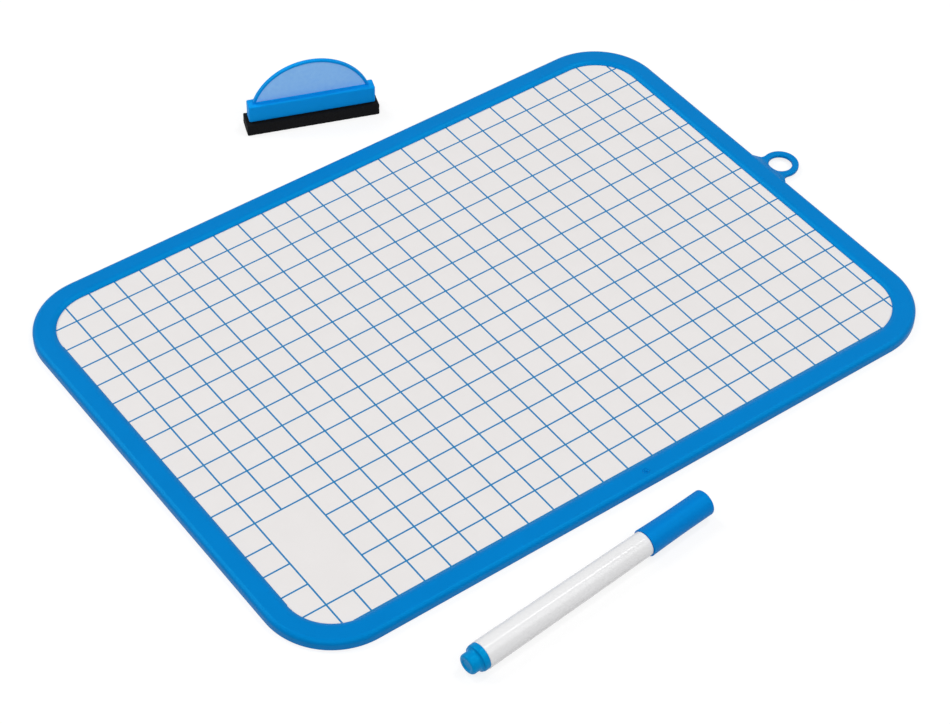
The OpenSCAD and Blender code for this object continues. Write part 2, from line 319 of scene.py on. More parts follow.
def mottled(
    name, shades, blotch_mm, grain_mm, grain_depth_mm, rough, stretch=(1, 1, 1), turn=0.0, **sockets
):
    """A finish whose shade and gloss wander over blotches, with a finer grain raised on it.

    The blotches mix the two shades and run the roughness between its two values. Stretch and turn draw
    the pattern out along the piece. The other sockets are set as they are."""
    material, tree, where = new_material(name)
    drawn = add(
        tree, "ShaderNodeMapping", {"Vector": where, "Rotation": (0, 0, -turn), "Scale": stretch}
    ).outputs["Vector"]
    blotch = add(
        tree,
        "ShaderNodeTexNoise",
        {"Vector": drawn, "Scale": per_mm(blotch_mm), "Detail": 4.0, "Roughness": 0.55},
    ).outputs["Fac"]
    shade = add(
        tree,
        "ShaderNodeMix",
        {MIX_FACTOR: blotch, MIX_A: linear(shades[0]), MIX_B: linear(shades[1])},
        data_type="RGBA",
    ).outputs[MIX_RESULT]
    gloss = add(
        tree,
        "ShaderNodeMapRange",
        {"Value": blotch, "From Min": 0.3, "From Max": 0.7, "To Min": rough[0], "To Max": rough[1]},
    ).outputs["Result"]
    grain = add(
        tree, "ShaderNodeTexNoise", {"Vector": drawn, "Scale": per_mm(grain_mm), "Detail": 3.0}
    ).outputs["Fac"]
    bump = add(
        tree, "ShaderNodeBump", {"Height": grain, "Strength": 1.0, "Distance": grain_depth_mm * MM}
    )
    shader = add(
        tree,
        "ShaderNodeBsdfPrincipled",
        {"Base Color": shade, "Roughness": gloss, "Normal": bump.outputs["Normal"], **sockets},
    )
    return close_material(material, tree, shader)


# The writing sheet: its two whites, the sizes in millimetres of the paper's clouds, the wiped streaks
# and the film's waves, the waves' depth, the streaks' direction in degrees and how far they are drawn
# out, and the film's roughness
SHEET_WHITES = ("#DEDBDA", "#E4E1E0")
CLOUD_MM = 14
STREAK_MM = 3
WAVE_MM = 1.6
WAVE_DEPTH_MM = 0.004
WIPE_TURN = 28
WIPE_STRETCH = (0.12, 1, 1)
FILM_ROUGH = (0.28, 0.31)


def laminated_sheet():
    """Printed paper under a clear film. The film's faint waves and wiped streaks break the sheen, and the
    paper under it clouds the white a little."""
    material, tree, where = new_material("gloss laminated white paper")
    cloud = add(
        tree,
        "ShaderNodeTexNoise",
        {"Vector": where, "Scale": per_mm(CLOUD_MM), "Detail": 5.0, "Roughness": 0.6},
    ).outputs["Fac"]
    white = add(
        tree,
        "ShaderNodeMix",
        {MIX_FACTOR: cloud, MIX_A: linear(SHEET_WHITES[0]), MIX_B: linear(SHEET_WHITES[1])},
        data_type="RGBA",
    ).outputs[MIX_RESULT]
    wiped = add(
        tree,
        "ShaderNodeMapping",
        {"Vector": where, "Rotation": (0, 0, math.radians(WIPE_TURN)), "Scale": WIPE_STRETCH},
    ).outputs["Vector"]
    streak = add(
        tree, "ShaderNodeTexNoise", {"Vector": wiped, "Scale": per_mm(STREAK_MM), "Detail": 4.0}
    ).outputs["Fac"]
    gloss = add(
        tree,
        "ShaderNodeMapRange",
        {
            "Value": streak,
            "From Min": 0.35,
            "From Max": 0.65,
            "To Min": FILM_ROUGH[0],
            "To Max": FILM_ROUGH[1],
        },
    ).outputs["Result"]
    wave = add(
        tree, "ShaderNodeTexNoise", {"Vector": where, "Scale": per_mm(WAVE_MM), "Detail": 1.0}
    ).outputs["Fac"]
    bump = add(tree, "ShaderNodeBump", {"Height": wave, "Strength": 1.0, "Distance": WAVE_DEPTH_MM * MM})
    shader = add(
        tree,
        "ShaderNodeBsdfPrincipled",
        {
            "Base Color": white,
            "Roughness": gloss,
            "Normal": bump.outputs["Normal"],
            "Specular IOR Level": 0.35,
        },
    )
    return close_material(material, tree, shader)


# The foam: its blacks, darker in the pits as painted shade and lighter on the skin between as a painted sheen, and
# the cells' size and depth in millimetres
FOAM_BLACKS = ("#040405", "#0F0F11")
CELL_MM = 0.6
CELL_DEPTH_MM = 0.12


def cell_foam():
    """Closed-cell EVA foam, cut with a blade. The cut cells are pits over half a millimetre wide, twice as coarse
    as real ones so that they show. Painted shade darkens the pits, and a painted grey sheen lightens the skin
    between them."""
    material, tree, where = new_material("cut black EVA foam")
    cells = add(
        tree, "ShaderNodeTexVoronoi", {"Vector": where, "Scale": per_mm(CELL_MM)}
    ).outputs["Distance"]
    # Painted shade and sheen: darker in the pits, lighter grey on the skin between
    tone = add(
        tree,
        "ShaderNodeMix",
        {MIX_FACTOR: cells, MIX_A: linear(FOAM_BLACKS[0]), MIX_B: linear(FOAM_BLACKS[1])},
        data_type="RGBA",
    ).outputs[MIX_RESULT]
    bump = add(tree, "ShaderNodeBump", {"Height": cells, "Strength": 0.8, "Distance": CELL_DEPTH_MM * MM})
    shader = add(
        tree,
        "ShaderNodeBsdfPrincipled",
        {
            "Base Color": tone,
            "Roughness": 0.85,
            "Normal": bump.outputs["Normal"],
            "Specular IOR Level": 0.12,
        },
    )
    return close_material(material, tree, shader)


# The sheen of dyed plastic. The low specular level keeps faces seen at a slant from whitening, and the
# tint goes above 1 to make up for it, so that highlights stay bright and blue.
BLUE_SHEEN = {"Specular Tint": (0.1, 4.2, 5.8, 1.0), "Specular IOR Level": 0.08}
MARKER_TURN = math.atan2(MARKER_AXIS[1], MARKER_AXIS[0])

# Injection-moulded polypropylene, satin from a spark-eroded mould: even blue with faint flow clouds
RIM_PLASTIC = mottled(
    "satin moulded polypropylene rim", ("#0071BA", "#0079C4"), 16, 0.5, 0.004, (0.36, 0.43),
    **BLUE_SHEEN,
)
# The same plastic from a finer mould: a broad soft sheen, with faint drag marks along the draw
CAP_PLASTIC = mottled(
    "satin moulded polypropylene cap", ("#0071C1", "#0079C9"), 6, 0.4, 0.003, (0.4, 0.48),
    stretch=(0.25, 1, 1), turn=MARKER_TURN, **BLUE_SHEEN,
)
# The end plug: the same plastic in a brighter blue than the cap, a little smoother, so that its steps catch the
# light
PLUG_PLASTIC = mottled(
    "satin moulded polypropylene plug", ("#007FBF", "#0087C9"), 4, 0.4, 0.003, (0.3, 0.36),
    **BLUE_SHEEN,
)
# White polypropylene tube, polished: a soft bright line and a hint of grey clouds along the draw
BARREL_PLASTIC = mottled(
    "gloss white polypropylene tube", ("#E2E2E3", "#E9E9EA"), 5, 0.5, 0.002, (0.15, 0.19),
    stretch=(0.2, 1, 1), turn=MARKER_TURN, **{"Specular IOR Level": 0.22},
)
# The eraser's handle, moulded in a lighter blue: satin, with a wide dull sheen
HANDLE_PLASTIC = mottled(
    "satin moulded polypropylene handle", ("#058CDD", "#0A93E7"), 9, 0.5, 0.004, (0.44, 0.52),
    **BLUE_SHEEN,
)
# The handle's sunk faces, etched matt in the mould, with a cloudy bloom. Their paler blue is painted light: it
# stands in for light shining through the thin web.
WEB_PLASTIC = mottled(
    "etched polypropylene web", ("#81BDFB", "#99CEFF"), 1.6, 0.35, 0.02, (0.5, 0.62),
    **{"Specular IOR Level": 0.4},
)
# Printing ink under the film: flat blue with the faint mottle of a screened print
INK = mottled(
    "printed blue ink", ("#0072AA", "#007CB6"), 0.8, 0.3, 0.001, (0.26, 0.34),
    **{"Specular IOR Level": 0.35},
)
# Pressed grey pulp with darker and lighter fibres
GREYBOARD = mottled(
    "pressed greyboard", ("#9A8D7A", "#B4A894"), 0.9, 0.3, 0.03, (0.85, 0.95),
    **{"Specular IOR Level": 0.2},
)
# Plain coated paper on the underside, with faint fibres
BACKING_PAPER = mottled(
    "coated backing paper", ("#DEDCD9", "#E8E6E4"), 2.2, 0.4, 0.006, (0.5, 0.62),
    **{"Specular IOR Level": 0.3},
)
# Bonded polyester fibre soaked with ink: fine strands along the rod
INKED_FIBRE = mottled(
    "inked polyester fibre", ("#1F3D78", "#37609F"), 0.4, 0.25, 0.04, (0.75, 0.9),
    stretch=(0.05, 1, 1), turn=MARKER_TURN, **{"Specular IOR Level": 0.3},
)
# Thin wrapped film, milky over the fibre, with fine creases along the rod
CLEAR_FILM = mottled(
    "wrapped polypropylene film", ("#E2E6EA", "#F2F4F6"), 3, 0.5, 0.01, (0.15, 0.25),
    stretch=(0.1, 1, 1), turn=MARKER_TURN, **{"Specular IOR Level": 0.5},
)
# Pressed acrylic fibre, dark with ink and slightly fuzzy
NIB_FIBRE = mottled(
    "inked acrylic fibre nib", ("#122C66", "#21479A"), 0.5, 0.2, 0.03, (0.7, 0.85),
    stretch=(0.3, 1, 1), turn=MARKER_TURN, **{"Specular IOR Level": 0.3},
)
# Double-sided tape: creamy carrier tissue with short fibres
TAPE = mottled(
    "double-sided tissue tape", ("#D2CCB9", "#E0DBCC"), 0.7, 0.3, 0.01, (0.6, 0.75),
    **{"Specular IOR Level": 0.35},
)
SHEET_FILM = laminated_sheet()
FOAM = cell_foam()


def ease(low, high, value):
    """Smooth step from 0 at low to 1 at high: 3t squared less 2t cubed of the clipped share t."""
    share = np.clip((value - low) / (high - low), 0, 1)
    return share * share * (3 - 2 * share)


def arc(centre, radius, start, end, steps):
    """Points of an arc: the centre plus the radius times the cosine and sine of even steps in degrees."""
    turn = np.radians(np.linspace(start, end, steps + 1))
    return np.stack([centre[0] + radius * np.cos(turn), centre[1] + radius * np.sin(turn)], axis=-1)


def rounded_corners(corners, steps=8):
    """An open line with round corners, from rows of two coordinates and a radius.

    Each corner becomes the arc that touches both its sides: a curve of three control points, the two
    touching points and the corner, whose middle weight is the sine of half the corner's angle."""
    corners = np.array(corners, float)
    point, radius = corners[:, :2], corners[:, 2:]
    before = np.concatenate([point[:1], point[:-1]]) - point
    after = np.concatenate([point[1:], point[-1:]]) - point
    before = before / np.maximum(np.linalg.norm(before, axis=1, keepdims=True), TINY_LENGTH)
    after = after / np.maximum(np.linalg.norm(after, axis=1, keepdims=True), TINY_LENGTH)
    half = np.arccos(np.clip((before * after).sum(1, keepdims=True), -1, 1)) / 2
    cut = radius / np.maximum(np.tan(half), TINY_LENGTH)
    weight = np.sin(half)[:, None]
    start, end = (point + before * cut)[:, None], (point + after * cut)[:, None]
    t = np.linspace(0, 1, steps + 1)[None, :, None]
    parts = (1 - t) ** 2, 2 * t * (1 - t) * weight, t**2
    line = (parts[0] * start + parts[1] * point[:, None] + parts[2] * end) / sum(parts)
    return line.reshape(-1, 2)


def rounded_loop(half_a, half_b, radius, round_steps=6, side_steps=1):
    """Closed rounded rectangles, one row for each row of half sizes and radii.

    A corner is a quarter circle about its centre, and a side is an even run to the next corner."""
    quarter = np.linspace(0, math.pi / 2, round_steps + 1)
    share = np.linspace(0, 1, side_steps + 1)[1:-1]
    turns = [quarter + k * math.pi / 2 for k in range(4)]
    signs_a, signs_b = (1, -1, -1, 1), (1, 1, -1, -1)
    corners_a = [sign * (half_a - radius) + radius * np.cos(turn) for sign, turn in zip(signs_a, turns)]
    corners_b = [sign * (half_b - radius) + radius * np.sin(turn) for sign, turn in zip(signs_b, turns)]
    runs = []
    for corners in (corners_a, corners_b):
        line = []
        for k in range(4):
            start, end = corners[k][:, -1:], corners[(k + 1) % 4][:, :1]
            line += [corners[k], start + (end - start) * share]
        runs.append(np.concatenate(line, axis=1))
    return runs[0], runs[1]


def grid_quads(rows, columns, close_rows, close_columns):
    """Corner numbers of the quads between neighbours on a grid.

    In a closed direction the last ones run back to the start."""
    index = np.arange(rows * columns).reshape(rows, columns)
    if close_rows:
        index = np.concatenate([index, index[:1]], axis=0)
    if close_columns:
        index = np.concatenate([index, index[:, :1]], axis=1)
    corners = (index[:-1, :-1], index[1:, :-1], index[1:, 1:], index[:-1, 1:])
    return np.stack(corners, axis=-1).reshape(-1, 4)


def make_piece(name, body, nodes, patches, materials):
    """One object from patches: each is a grid of points in millimetres, whether its rows and columns are
    closed, and the place of its material.

    Points that fall together are merged, which closes seams and poles, faces are turned outwards, and
    only edges over the crease angle stay sharp. The piece rides on its body and stands for its CAD
    nodes."""
    points, quads, kinds = [], [], []
    count = 0
    for grid, close_rows, close_columns, kind in patches:
        rows, columns = grid.shape[:2]
        faces = grid_quads(rows, columns, close_rows, close_columns)
        points.append(grid.reshape(-1, 3) * MM)
        quads.append(faces + count)
        kinds.append(np.full(len(faces), kind, dtype=np.int32))
        count += rows * columns
    mesh = bpy.data.meshes.new(name)
    mesh.from_pydata(np.concatenate(points).tolist(), [], np.concatenate(quads).tolist())
    mesh.polygons.foreach_set("material_index", np.concatenate(kinds))
    work = bmesh.new()
    work.from_mesh(mesh)
    bmesh.ops.remove_doubles(work, verts=work.verts, dist=MERGE_DISTANCE)
    bmesh.ops.recalc_face_normals(work, faces=work.faces)
    work.to_mesh(mesh)
    work.free()
    mesh.shade_smooth()
    mesh.set_sharp_from_angle(angle=math.radians(CREASE_ANGLE))
    for material in materials:
        mesh.materials.append(material)
    piece = bpy.data.objects.new(name, mesh)
    bpy.context.scene.collection.objects.link(piece)
    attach(piece, body)
    if nodes:
        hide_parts(*nodes)
    return piece


def rim_section():
    """The rim's closed section as inset from the outer edge and height: foot round, outer turn, flat
    crown, the arc that falls to the inner edge, the groove that holds the panel, and the lip under it."""
    fall = RIM_H - SHEET_Z - INNER_EDGE_H
    slope_r = (SLOPE_W**2 + fall**2) / (2 * fall)
    slope_from = RIM_W - SLOPE_W
    slope_middle = (slope_from, RIM_H - slope_r)
    slope_end = math.degrees(math.acos((SLOPE_W - INNER_R) / (slope_r - INNER_R)))
    inner_middle = slope_middle + (slope_r - INNER_R) * np.array(
        [math.cos(math.radians(slope_end)), math.sin(math.radians(slope_end))]
    )
    crown = np.linspace(EDGE_R, slope_from, CROWN_STEPS + 1)[1:-1]
    groove_in = RIM_W - GROOVE_D
    return np.concatenate(
        [
            arc((FOOT_R, FOOT_R), FOOT_R, 270, 180, FOOT_STEPS),
            arc((EDGE_R, RIM_H - EDGE_R), EDGE_R, 180, 90, EDGE_STEPS),
            np.stack([crown, np.full_like(crown, RIM_H)], axis=-1),
            arc(slope_middle, slope_r, 90, slope_end, SLOPE_STEPS),
            arc(inner_middle, INNER_R, slope_end, 0, INNER_STEPS),
            [(RIM_W, SHEET_Z), (groove_in, SHEET_Z), (groove_in, LIP_T)],
            arc((RIM_W - LIP_R, LIP_T - LIP_R), LIP_R, 90, 0, LIP_STEPS),
            arc((RIM_W - LIP_R, LIP_R), LIP_R, 0, -90, LIP_STEPS),
        ]
    )


def rim_path():
    """Path round the rim as arc centres and outward directions in degrees.

    At a corner the centre stays and the direction turns. Along a side the direction stays and the centre
    slides from one corner to the next, with closer steps at the gate mark."""
    half_l, half_w = BOARD_L / 2 - CORNER_R, BOARD_W / 2 - CORNER_R
    long_run = np.linspace(-half_l, half_l, LONG_STEPS + 1)
    short_run = np.linspace(-half_w, half_w, SHORT_STEPS + 1)
    gate_run = np.union1d(long_run, GATE_X + np.linspace(-GATE_D, GATE_D, GATE_STEPS + 1))
    quarter = np.linspace(0, 90, CORNER_STEPS + 1)
    parts = (
        (gate_run, -half_w, -90),
        (half_l, -half_w, quarter - 90),
        (half_l, short_run, 0),
        (half_l, half_w, quarter),
        (long_run[::-1], half_w, 90),
        (-half_l, half_w, quarter + 90),
        (-half_l, short_run[::-1], 180),
        (-half_l, -half_w, quarter + 180),
    )
    runs = [np.broadcast_arrays(x, y, turn) for x, y, turn in parts]
    return [np.concatenate([run[k] for run in runs]).astype(float) for k in range(3)]


def rim_surface():
    """The rim's section carried round its path: the centre plus the outward direction times the corner
    radius less the inset. The gate mark sinks a round dimple into the crown and leaves a nub in it."""
    section = rim_section()
    x, y, turn = rim_path()
    turn = np.radians(turn)[:, None]
    out = CORNER_R - section[None, :, 0]
    px = x[:, None] + out * np.cos(turn)
    py = y[:, None] + out * np.sin(turn)
    pz = np.broadcast_to(section[None, :, 1], px.shape).copy()
    from_gate = np.hypot(px - GATE_X, py - (GATE_IN - BOARD_W / 2))
    dimple = GATE_DEPTH * (1 - ease(GATE_WALL * GATE_D / 2, GATE_D / 2, from_gate))
    nub = NUB_RISE * GATE_DEPTH * (1 - ease(NUB_TOP * GATE_NUB_D, NUB_FOOT * GATE_NUB_D, from_gate))
    on_crown = pz > RIM_H - GATE_DEPTH
    pz -= np.where(on_crown, dimple - nub, 0)
    return np.stack([px, py, pz], axis=-1)


def loop_reach(turn):
    """Distance from the hole's middle to the loop's outline in each direction.

    It is the ring's radius outwards, then the near side of the fillet circle that touches the ring and
    the rim's edge, and inside the rim the straight root."""
    ring_r = HOLE_R + RING_W
    hole_out = HOLE_X - BOARD_L / 2
    fillet_x = LOOP_FILLET_R - hole_out
    fillet_y = math.sqrt((ring_r + LOOP_FILLET_R) ** 2 - fillet_x**2)
    away = np.abs(turn)
    toward = np.cos(away) * fillet_x + np.sin(away) * fillet_y
    inside = toward**2 - (fillet_x**2 + fillet_y**2 - LOOP_FILLET_R**2)
    fillet = toward - np.sqrt(np.maximum(inside, 0))
    root = (hole_out + LOOP_ROOT) / np.maximum(-np.cos(away), TINY_COSINE)
    ring_to = math.atan2(fillet_y, fillet_x)
    fillet_to = math.atan2(fillet_y, -hole_out)
    return np.where(away < ring_to, ring_r, np.where(away < fillet_to, fillet, root))


def loop_surface():
    """The hanging loop: a rounded section from the hole to the loop's outline, carried round the hole.

    The top rises to the rim's crown on a smooth step across the rim's turn and the ramp beyond it, which
    fades out where the neck's fillets run into the rim."""
    turn = np.linspace(-math.pi, math.pi, LOOP_STEPS + 1)[:-1]
    outline = loop_reach(turn)[:, None]
    half_a = (outline - HOLE_R) / 2
    half_b = np.full_like(half_a, LOOP_T / 2)
    edge_r = np.full_like(half_a, LOOP_EDGE_R)
    a, b = rounded_loop(half_a, half_b, edge_r, side_steps=LOOP_SIDE_STEPS)
    distance = HOLE_R + half_a + a
    px = HOLE_X + distance * np.cos(turn)[:, None]
    py = distance * np.sin(turn)[:, None]
    to_crown = RIM_H - LOOP_SUNK - (LOOP_Z + LOOP_T)
    rise = to_crown * (1 - ease(BOARD_L / 2 - EDGE_R, BOARD_L / 2 + LOOP_RAMP, px))
    ring_r = HOLE_R + RING_W
    fade_from = ring_r + RAMP_FADE_FROM * LOOP_FILLET_R
    fade_to = ring_r + RAMP_FADE_TO * LOOP_FILLET_R
    rise *= 1 - ease(fade_from, fade_to, np.abs(py))
    pz = LOOP_Z + half_b + b + rise * np.clip(b / half_b, 0, 1)
    return np.stack([px, py, pz], axis=-1)


def print_lines():
    """Places and ends of the ink strips along the printed squares, for each of the two directions.

    A strip stops at the rim's opening, and one that meets the bare block is cut in two by it."""
    half_l, half_w = BOARD_L / 2 - RIM_W, BOARD_W / 2 - RIM_W
    opening_r = CORNER_R - RIM_W
    lines_x = FIRST_LINE_X + SQUARE * np.arange(LINES_X)
    lines_y = FIRST_LINE_Y - SQUARE * np.arange(LINES_Y)

    def end(at, half_across, half_along):
        """Half the opening's size along a line, less the drop of its corner's circle at that place."""
        past = np.clip(np.abs(at) - (half_across - opening_r), 0, opening_r)
        return half_along - opening_r + np.sqrt(opening_r**2 - past**2)

    bare_x, bare_y = lines_x[list(BARE_X)], lines_y[list(BARE_Y)][::-1]
    strips = []
    for lines, half_across, half_along, bare_across, bare_along, along_y in (
        (lines_x, half_l, half_w, bare_x, bare_y, True),
        (lines_y, half_w, half_l, bare_y, bare_x, False),
    ):
        stop = end(lines, half_across, half_along)
        crossing = (lines > bare_across[0] + LINE_W) & (lines < bare_across[1] - LINE_W)
        low = np.concatenate([-stop, np.full(crossing.sum(), bare_along[1])])
        high = np.concatenate([np.where(crossing, bare_along[0], stop), stop[crossing]])
        at = np.concatenate([lines, lines[crossing]])
        strips.append((at, low, high, along_y))
    return strips


def strip_boxes(at, low, high, along_y, top):
    """Thin closed boxes for the strips, each a grid of four rings along its line.

    The middle two rings are the section's four corners at either end, and the outer two are the same
    corners drawn in to a point, which closes the ends."""
    half = LINE_W / 2
    across = np.array([-half, half, half, -half])
    height = np.array([top, top, SHEET_Z, SHEET_Z])
    shares = np.array([0, 0, 1, 1])
    scale = np.array([0, 1, 1, 0])
    run = low[:, None] + (high - low)[:, None] * shares
    run = np.broadcast_to(run[:, :, None], (*run.shape, 4))
    side = at[:, None, None] + scale[None, :, None] * across[None, None, :]
    side = np.broadcast_to(side, run.shape)
    mid = (top + SHEET_Z) / 2
    z = np.broadcast_to(mid + scale[None, :, None] * (height - mid)[None, None, :], run.shape)
    return np.stack([side, run, z] if along_y else [run, side, z], axis=-1)


def turned(profile, steps=TUBE_STEPS):
    """A profile of distance from the marker's tail and radius, turned about the marker's axis."""
    turn = np.linspace(0, 2 * math.pi, steps + 1)[:-1]
    round_about = np.cos(turn)[:, None] * Z_AXIS + np.sin(turn)[:, None] * MARKER_SIDE
    along = profile[:, 0, None, None] * MARKER_AXIS
    return MARKER_TAIL + along + profile[:, 1, None, None] * round_about[None]


def barrel_profile():
    """The barrel's closed half section: tapered tube, neck and nozzle, and the stepped bore inside."""
    front_r = (MARKER_D - BARREL_TAPER) / 2
    neck_r = front_r - NECK_STEP
    nozzle_x = MOUTH_X + NECK_L
    nib_hole_r = NIB_D / 2 + FIT_GAP
    socket_r = SPIGOT_D / 2 + FIT_GAP
    return rounded_corners(
        [
            (BARREL_X, socket_r, 0),
            (BARREL_X, MARKER_D / 2, TUBE_EDGE_R),
            (MOUTH_X, front_r, TUBE_EDGE_R),
            (MOUTH_X, neck_r, 0),
            (nozzle_x, neck_r, NOZZLE_EDGE_R),
            (nozzle_x, NOZZLE_ROOT_D / 2, 0),
            (NOZZLE_END, NOZZLE_TIP_D / 2, TUBE_EDGE_R),
            (NOZZLE_END, nib_hole_r, 0),
            (nozzle_x, nib_hole_r, 0),
            (nozzle_x, NECK_BORE_D / 2, 0),
            (BORE_END_X, NECK_BORE_D / 2, 0),
            (BORE_END_X, BORE_D / 2, 0),
            (RESERVOIR_X, BORE_D / 2, 0),
            (RESERVOIR_X, socket_r, 0),
            (BARREL_X, socket_r, 0),
        ]
    )


def plug_profile():
    """The end plug's half section from pole to pole: dished and rounded boss, fillet, rounded flange and
    hollow spigot."""
    flange_r = MARKER_D / 2 - FLANGE_STEP
    spigot_bore_r = SPIGOT_D / 2 - SPIGOT_WALL
    return rounded_corners(
        [
            (BOSS_DISH, 0, 0),
            (BOSS_DISH, BOSS_DISH_R - BOSS_DISH, BOSS_DISH),
            (0, BOSS_DISH_R, BOSS_DISH / 2),
            (0, BOSS_D / 2, BOSS_R),
            (BOSS_L, BOSS_D / 2, BOSS_FILLET_R),
            (BOSS_L, flange_r, FLANGE_R),
            (BARREL_X, flange_r, TUBE_EDGE_R / 2),
            (BARREL_X, SPIGOT_D / 2, 0),
            (RESERVOIR_X, SPIGOT_D / 2, TUBE_EDGE_R),
            (RESERVOIR_X, spigot_bore_r, 0),
            (BARREL_X, spigot_bore_r, TUBE_EDGE_R),
            (BARREL_X, 0, 0),
        ]
    )


def cap_profile():
    """The cap's half section from pole to pole: rounded closed end, hollowed side, mouth and bore.

    The side's radius is the waist's plus the square of the distance from it over twice the arc's."""
    waist_r = (WAIST_IN**2 + (WAIST_STEP / 2) ** 2) / WAIST_STEP
    cap_l = CAP_END - MOUTH_X
    along = np.linspace(cap_l - 2 * CAP_END_R, 2 * TUBE_EDGE_R, CAP_SIDE_STEPS + 1)
    distances = np.concatenate([[cap_l], along, [0]])
    radii = MARKER_D / 2 - WAIST_STEP / 2 + (distances - WAIST_IN) ** 2 / (2 * waist_r)
    rounds = np.concatenate([[CAP_END_R], np.zeros_like(along), [TUBE_EDGE_R]])
    bore_r = MARKER_D / 2 - BARREL_TAPER / 2 - NECK_STEP + FIT_GAP
    bore_end = CAP_END - CAP_END_T
    return rounded_corners(
        [
            (CAP_END, 0, 0),
            *np.stack([MOUTH_X + distances, radii, rounds], axis=-1).tolist(),
            (MOUTH_X, bore_r, TUBE_EDGE_R / 2),
            (bore_end, bore_r, TUBE_EDGE_R),
            (bore_end, 0, 0),
        ]
    )


def nib_profile():
    """The nib's half section from pole to pole: a rod with a bullet end, rounded over its own radius."""
    nib_r = NIB_D / 2
    return rounded_corners(
        [(NIB_X, 0, 0), (NIB_X, nib_r, NIB_EDGE_R), (TIP_X, nib_r, nib_r), (TIP_X, 0, 0)], NIB_ROUND_STEPS
    )


def on_eraser(x, y, z):
    """Points given along, across and above the eraser's middle, in the part's frame."""
    x, y, z = np.broadcast_arrays(x, y, z)
    return ERASER_MIDDLE + x[..., None] * ERASER_AXIS + y[..., None] * ERASER_SIDE + z[..., None] * Z_AXIS


def rounded_block(length, width, height, edge_r, end_r, run_steps, side_steps):
    """A block along x with rounded long edges and ends, as x, y and z about its middle.

    The section is a rounded rectangle. Over the last end_r its inset grows on a quarter circle, and the
    flat end is the last section drawn in to a point."""
    quarter = np.linspace(0, math.pi / 2, BLOCK_END_STEPS + 1)
    run = np.linspace(end_r - length / 2, length / 2 - end_r, run_steps + 1)[1:-1]
    shrink = np.array([0, 0.35, 0.7])
    flat = np.ones_like(shrink)
    low_x = -length / 2 + end_r * (1 - np.sin(quarter))
    x = np.concatenate([flat * -length / 2, low_x[::-1], run, -low_x, flat * length / 2])
    round_in = end_r * (1 - np.cos(quarter))
    inset = np.concatenate([flat * end_r, round_in[::-1], 0 * run, round_in, flat * end_r])
    scale = np.concatenate([shrink, np.ones(len(x) - 2 * len(shrink)), shrink[::-1]])
    inset = inset[:, None]
    radius = np.maximum(edge_r - inset, LEAST_R)
    y, z = rounded_loop(width / 2 - inset, height / 2 - inset, radius, side_steps=side_steps)
    return x[:, None], y * scale[:, None], z * scale[:, None]


def moon_half_t(depth):
    """Half thickness of the half-moon plate by the depth in from its edge.

    The raised rim has rounded edges, and a smooth step falls to the web."""
    into = np.clip((MOON_EDGE_R - depth) / MOON_EDGE_R, 0, 1)
    edge = MOON_T / 2 - MOON_EDGE_R * (1 - np.sqrt(1 - into**2))
    sunk = (MOON_T - WEB_T) / 2 * ease(MOON_RIM_W, MOON_RIM_W + WEB_STEP, depth)
    return edge - sunk


def moon_patches():
    """The half-moon plate on polar lines about the middle of its arc.

    Each line runs in from the arc to the root inside the bar, and the outermost lines stay just off the
    arc's ends. The depth samples are close over the raised rim and its step, and even over the web. Front
    and back are the half thickness on either side."""
    # The web's material is a paler blue, painted light that stands in for light shining through the thin web
    plain, etched = 0, 1
    off_the_ends = 0.002
    bar_top = BAR_Z + BAR_H
    half_l = BAR_L / 2 - MOON_IN
    height = MOON_TOP - bar_top
    moon_r = (half_l**2 + height**2) / (2 * height)
    moon_z = MOON_TOP - moon_r
    root_z = bar_top - MOON_ROOT
    low_turn = math.asin((root_z - moon_z) / moon_r) + off_the_ends
    turn = np.linspace(low_turn, math.pi - low_turn, MOON_STEPS + 1)[:, None]
    deepest = moon_r - (root_z - moon_z) / np.sin(turn)
    rim_end = MOON_RIM_W + WEB_STEP
    edge = MOON_EDGE_R * (1 - np.cos(np.linspace(0, math.pi / 2, MOON_RIM_STEPS + 1)))
    step = np.linspace(MOON_RIM_W, rim_end, MOON_RIM_STEPS + 1)
    rim_depth = np.minimum(np.concatenate([edge, step])[None, :], deepest)
    web_share = np.linspace(0, 1, WEB_STEPS + 1)[None, :]
    web_from = np.minimum(rim_end, deepest)
    web_depth = web_from + (deepest - web_from) * web_share

    def face(depth, side):
        """Points at depths in from the arc, on the front or the back of the plate."""
        from_middle = moon_r - depth
        z = moon_z + from_middle * np.sin(turn)
        return on_eraser(from_middle * np.cos(turn), side * moon_half_t(depth), z)

    rim = np.concatenate([face(rim_depth, 1)[:, ::-1], face(rim_depth, -1)], axis=1)
    front, back = face(web_depth, -1), face(web_depth, 1)
    root = np.stack([front[:, -1], back[:, -1]], axis=1)
    faces = ((rim, plain), (front, etched), (back, etched), (root, plain))
    return [(grid, OPEN, OPEN, kind) for grid, kind in faces]


def web_fillet(side):
    """Fillet along the foot of the web: a quarter circle hollow from the bar's top up the web's face,
    closed inside both, and carried along the bar to the half-moon's ends."""
    bar_top = BAR_Z + BAR_H
    half_l = BAR_L / 2 - MOON_IN - MOON_RIM_W
    foot_y = WEB_T / 2 + WEB_FILLET_R
    hollow = arc((foot_y, bar_top + WEB_FILLET_R), WEB_FILLET_R, 180, 270, WEB_FILLET_STEPS)
    inside = [(foot_y, bar_top - WEB_T / 4), (WEB_T / 4, bar_top - WEB_T / 4)]
    section = np.concatenate([hollow, inside, [(WEB_T / 4, bar_top + WEB_FILLET_R)]])
    middle_of = section.mean(axis=0)
    scale = np.array([0, 1, 1, 0])[:, None]
    x = np.array([-half_l, -half_l, half_l, half_l])[:, None]
    y = middle_of[0] + scale * (section[None, :, 0] - middle_of[0])
    z = middle_of[1] + scale * (section[None, :, 1] - middle_of[1])
    return on_eraser(x, side * y, z)


